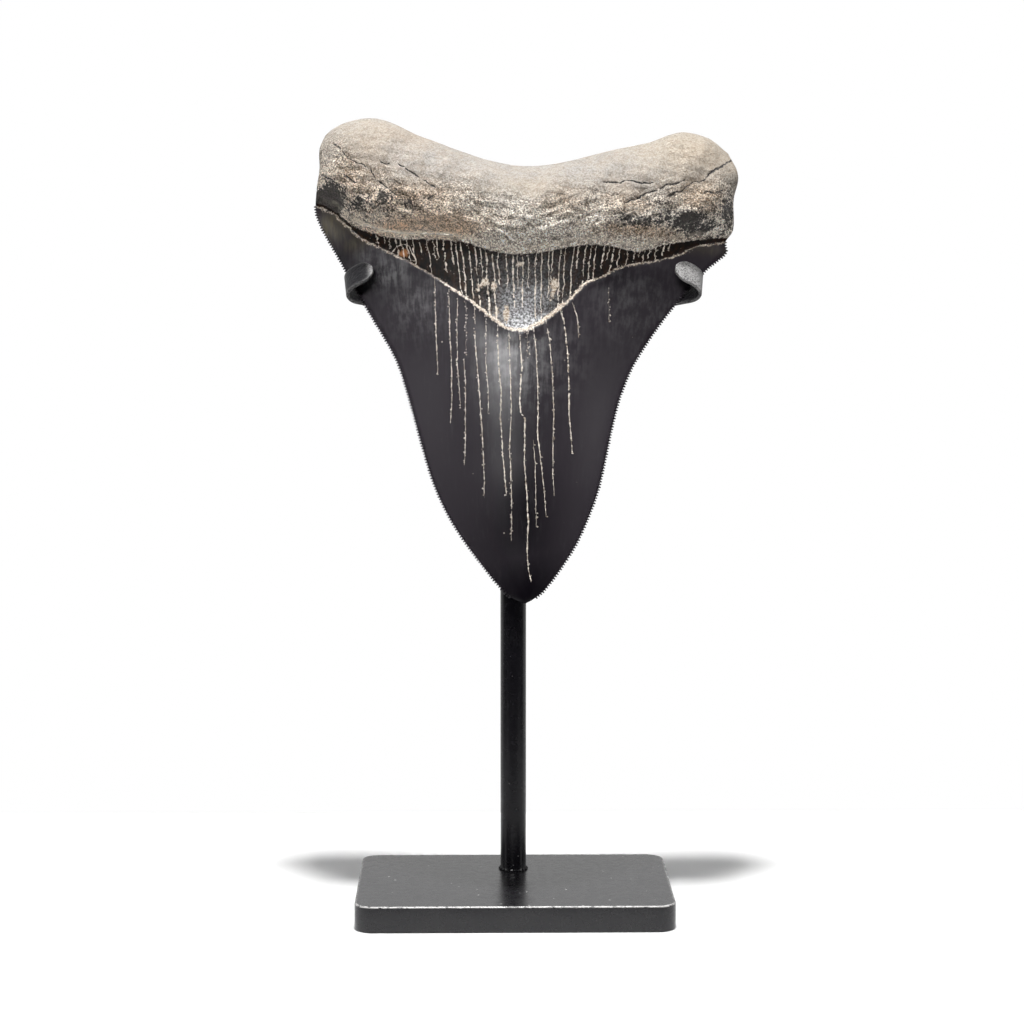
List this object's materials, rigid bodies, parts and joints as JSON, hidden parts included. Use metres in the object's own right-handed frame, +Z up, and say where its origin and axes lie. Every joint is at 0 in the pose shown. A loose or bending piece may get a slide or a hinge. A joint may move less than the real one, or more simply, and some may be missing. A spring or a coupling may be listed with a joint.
{
  "type": "megalodon tooth on a display stand",
  "caption": "Large fossil shark tooth, point down, held at its two cutting edges by the claws of a black metal stand with a round post and a flat rectangular base.",
  "frame": {"origin": "centre of the base plate's underside", "axes": "+Z up, the tooth's convex face and the front of the base look along -Y, +X to the right seen from the front"},
  "size_m": [0.1024, 0.0508, 0.1915],
  "materials": {
    "fossil": "fossil tooth: satin near-black enamel crown with cream mineral cracks, dark dental band with fine cream hairlines, grainy grey-beige root",
    "black_finish": "satin black patina on steel, finely pitted, worn to a brighter line on the base plate's front edge"
  },
  "bodies": {
    "root": {"tooth": "fossil", "base_plate": "black_finish", "post": "black_finish", "bracket": "black_finish"}
  },
  "joints": []
}
